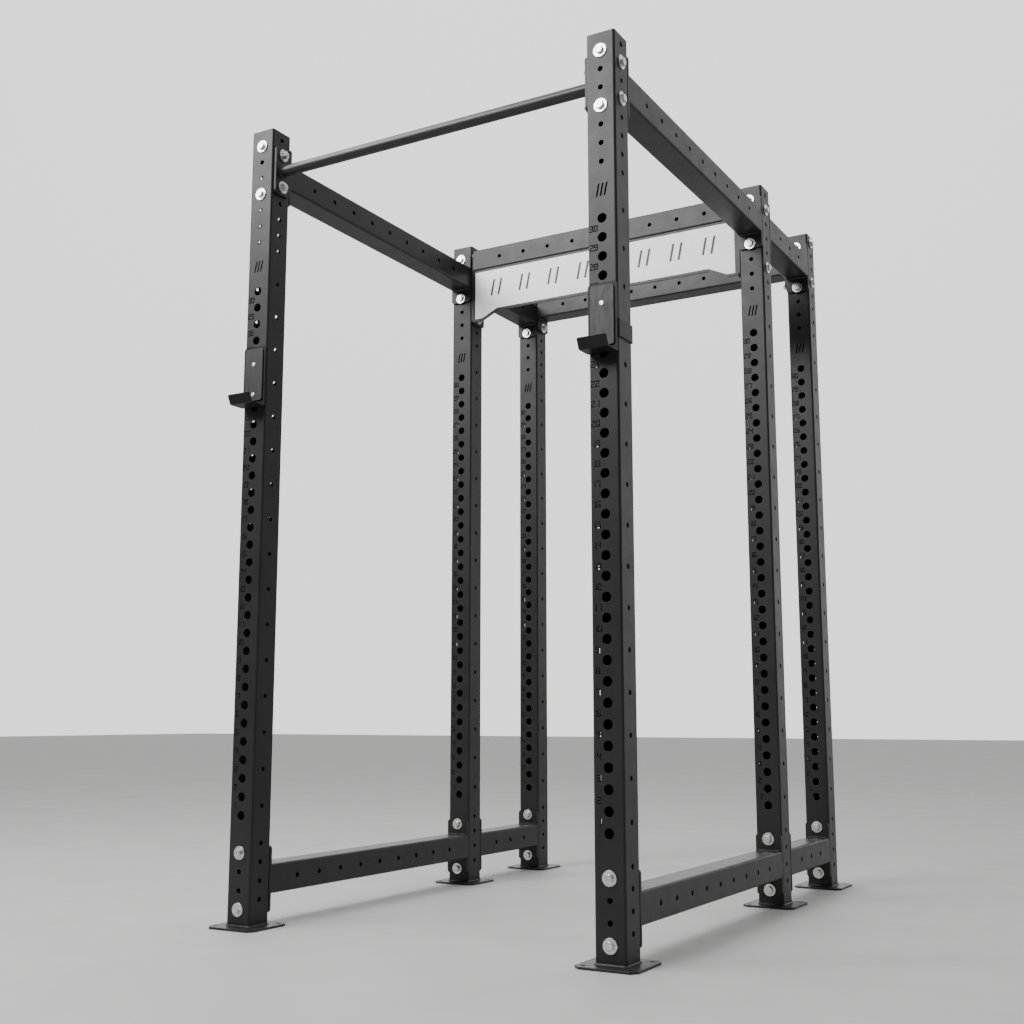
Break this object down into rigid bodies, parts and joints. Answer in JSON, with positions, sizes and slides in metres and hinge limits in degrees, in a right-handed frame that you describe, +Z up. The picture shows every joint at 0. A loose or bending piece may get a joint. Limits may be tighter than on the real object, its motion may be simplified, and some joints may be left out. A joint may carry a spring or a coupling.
{
  "type": "power cage",
  "caption": "Free-standing bolted weightlifting cage of square tube with peg holes, pull-up bar, nameplate crossmember and a pair of J-cups that hold a barbell.",
  "frame": {"origin": "on the floor, under the centre of the whole cage", "axes": "+Z up, +X to the user's right when facing the open front from outside, +Y from the front to the rear"},
  "size_m": [1.28, 1.809, 2.3],
  "materials": {
    "powder_coat": "satin black powder coat",
    "zinc": "bright zinc plating",
    "rivet": "plain",
    "cup_liner": "moulded UHMW polyethylene",
    "cap_plastic": "moulded polyethylene",
    "panel_white": "smooth white"
  },
  "bodies": {
    "frame": {"bolts_front": "zinc", "bolts_middle": "zinc", "bolts_rear": "zinc", "crossmember_bottom_left_front": "powder_coat", "crossmember_bottom_left_rear": "powder_coat", "crossmember_bottom_right_front": "powder_coat", "crossmember_bottom_right_rear": "powder_coat", "crossmember_top_left_front": "powder_coat", "crossmember_top_left_rear": "powder_coat", "crossmember_top_right_front": "powder_coat", "crossmember_top_right_rear": "powder_coat", "flanges_bottom_left_front": "powder_coat", "flanges_bottom_left_rear": "powder_coat", "flanges_bottom_right_front": "powder_coat", "flanges_bottom_right_rear": "powder_coat", "flanges_top_left_front": "powder_coat", "flanges_top_left_rear": "powder_coat", "flanges_top_right_front": "powder_coat", "flanges_top_right_rear": "powder_coat", "foot_plate_front_left": "powder_coat", "foot_plate_front_right": "powder_coat", "foot_plate_middle_left": "powder_coat", "foot_plate_middle_right": "powder_coat", "foot_plate_rear_left": "powder_coat", "foot_plate_rear_right": "powder_coat", "nameplate_crossmember": "powder_coat", "nameplate_flanges": "powder_coat", "nameplate_panel": "panel_white", "nameplate_plate": "powder_coat", "nuts_front": "zinc", "nuts_middle": "zinc", "nuts_rear": "zinc", "pull_up_bar": "powder_coat", "pull_up_flanges": "powder_coat", "rear_crossmember": "powder_coat", "rear_flanges": "powder_coat", "upright_end_caps": "cap_plastic", "upright_front_left": "powder_coat", "upright_front_right": "powder_coat", "upright_middle_left": "powder_coat", "upright_middle_right": "powder_coat", "upright_rear_left": "powder_coat", "upright_rear_right": "powder_coat", "washers_front": "zinc", "washers_middle": "zinc", "washers_rear": "zinc"},
    "j_cup_left": {"j_cup_left_body": "powder_coat", "j_cup_left_liner": "cup_liner", "j_cup_left_peg": "zinc", "j_cup_left_rivets": "rivet"},
    "j_cup_right": {"j_cup_right_body": "powder_coat", "j_cup_right_liner": "cup_liner", "j_cup_right_peg": "zinc", "j_cup_right_rivets": "rivet"}
  },
  "joints": [
    {"name": "j_cup_left_turn", "type": "hinge", "parent": "frame", "child": "j_cup_left", "pos_m": [-0.56, -0.8355, 1.6], "axis": [0, 1, 0], "range_deg": [0, 90]},
    {"name": "j_cup_right_turn", "type": "hinge", "parent": "frame", "child": "j_cup_right", "pos_m": [0.56, -0.8355, 1.6], "axis": [0, -1, 0], "range_deg": [0, 90]}
  ]
}
